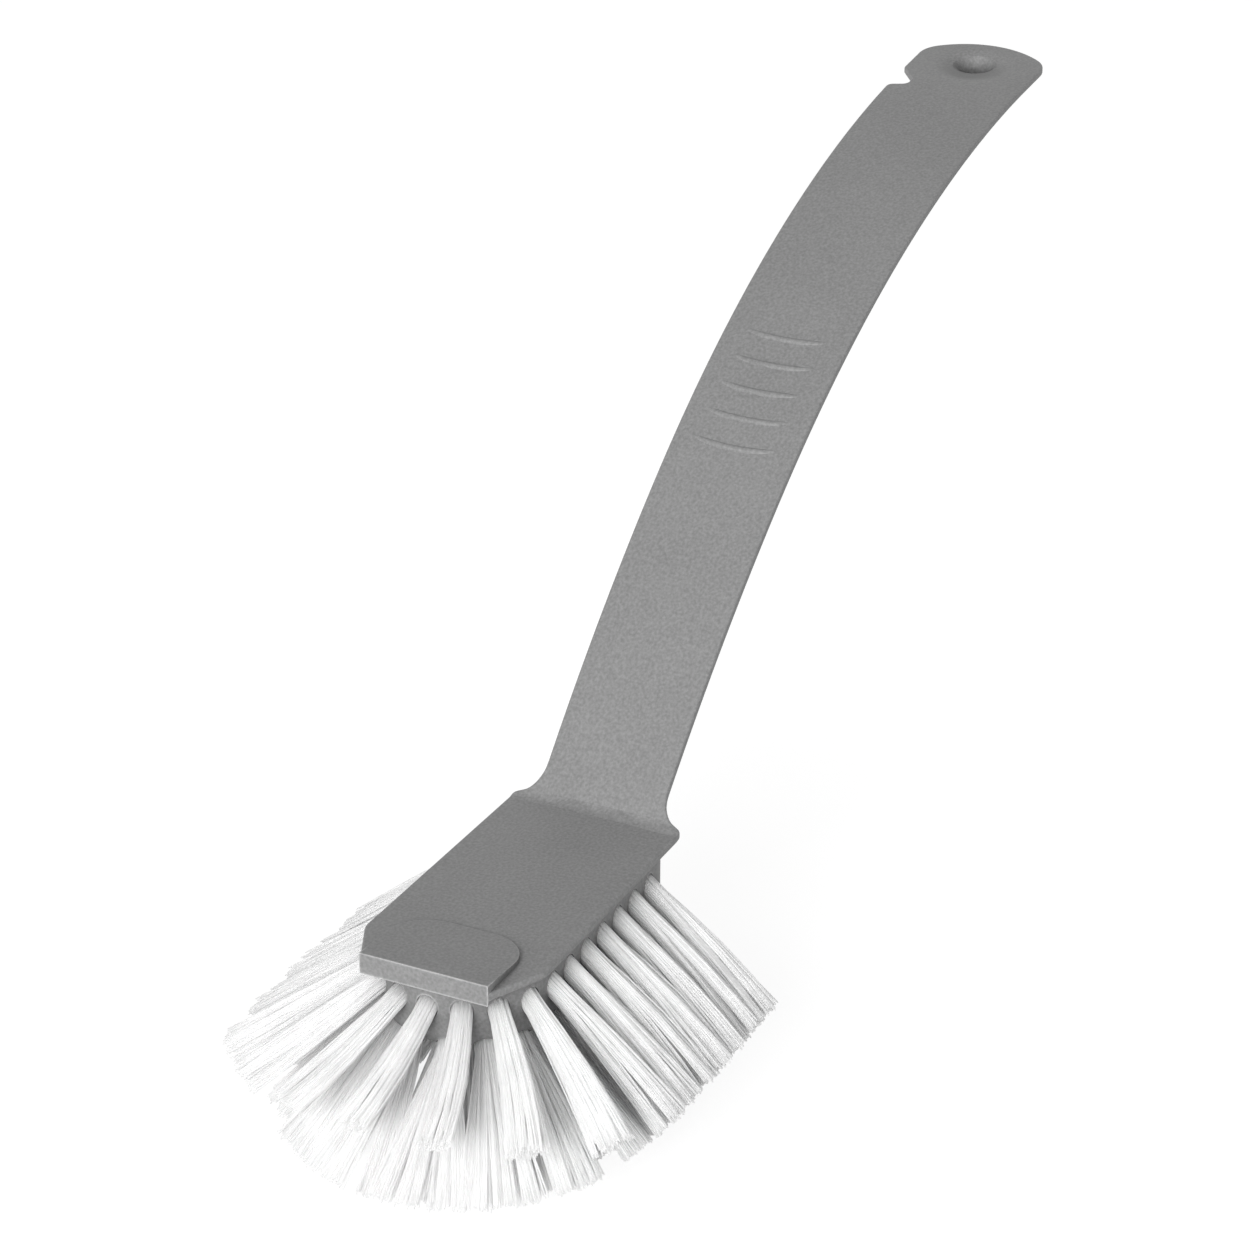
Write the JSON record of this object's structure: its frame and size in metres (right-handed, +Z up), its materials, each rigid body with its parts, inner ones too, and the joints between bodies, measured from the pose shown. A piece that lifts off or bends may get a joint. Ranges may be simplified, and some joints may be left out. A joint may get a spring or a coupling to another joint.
{
  "type": "dish brush",
  "caption": "Hand-held dish brush with a moulded plastic body, bowed handle with grip ribs, scraper lip, hanging hole, and a fan of white bristle tufts anchored in its head.",
  "frame": {"origin": "on the surface that the brush stands on, under the middle of its overall box", "axes": "+X from the bristle front towards the handle's end, +Y towards the notched edge of the handle, +Z up"},
  "size_m": [0.289, 0.0876, 0.1409],
  "materials": {
    "body_plastic": "matte mid-grey moulded polypropylene with a fine grain",
    "bristle": "white translucent nylon filament",
    "anchor_wire": "drawn flat wire, bright"
  },
  "bodies": {
    "root": {"brush_body": "body_plastic", "centre_tuft_01": "bristle", "centre_tuft_02": "bristle", "centre_tuft_03": "bristle", "centre_tuft_04": "bristle", "centre_tuft_05": "bristle", "inner_tuft_01": "bristle", "inner_tuft_02": "bristle", "inner_tuft_03": "bristle", "inner_tuft_04": "bristle", "inner_tuft_05": "bristle", "inner_tuft_06": "bristle", "inner_tuft_07": "bristle", "inner_tuft_08": "bristle", "inner_tuft_09": "bristle", "inner_tuft_10": "bristle", "inner_tuft_11": "bristle", "inner_tuft_12": "bristle", "inner_tuft_13": "bristle", "middle_tuft_01": "bristle", "middle_tuft_02": "bristle", "middle_tuft_03": "bristle", "middle_tuft_04": "bristle", "middle_tuft_05": "bristle", "middle_tuft_06": "bristle", "middle_tuft_07": "bristle", "middle_tuft_08": "bristle", "middle_tuft_09": "bristle", "middle_tuft_10": "bristle", "middle_tuft_11": "bristle", "middle_tuft_12": "bristle", "middle_tuft_13": "bristle", "middle_tuft_14": "bristle", "middle_tuft_15": "bristle", "middle_tuft_16": "bristle", "middle_tuft_17": "bristle", "middle_tuft_18": "bristle", "outer_tuft_01": "bristle", "outer_tuft_02": "bristle", "outer_tuft_03": "bristle", "outer_tuft_04": "bristle", "outer_tuft_05": "bristle", "outer_tuft_06": "bristle", "outer_tuft_07": "bristle", "outer_tuft_08": "bristle", "outer_tuft_09": "bristle", "outer_tuft_10": "bristle", "outer_tuft_11": "bristle", "outer_tuft_12": "bristle", "outer_tuft_13": "bristle", "outer_tuft_14": "bristle", "outer_tuft_15": "bristle", "outer_tuft_16": "bristle", "outer_tuft_17": "bristle", "outer_tuft_18": "bristle", "outer_tuft_19": "bristle", "outer_tuft_20": "bristle", "outer_tuft_21": "bristle", "tuft_anchors": "anchor_wire"}
  },
  "joints": []
}
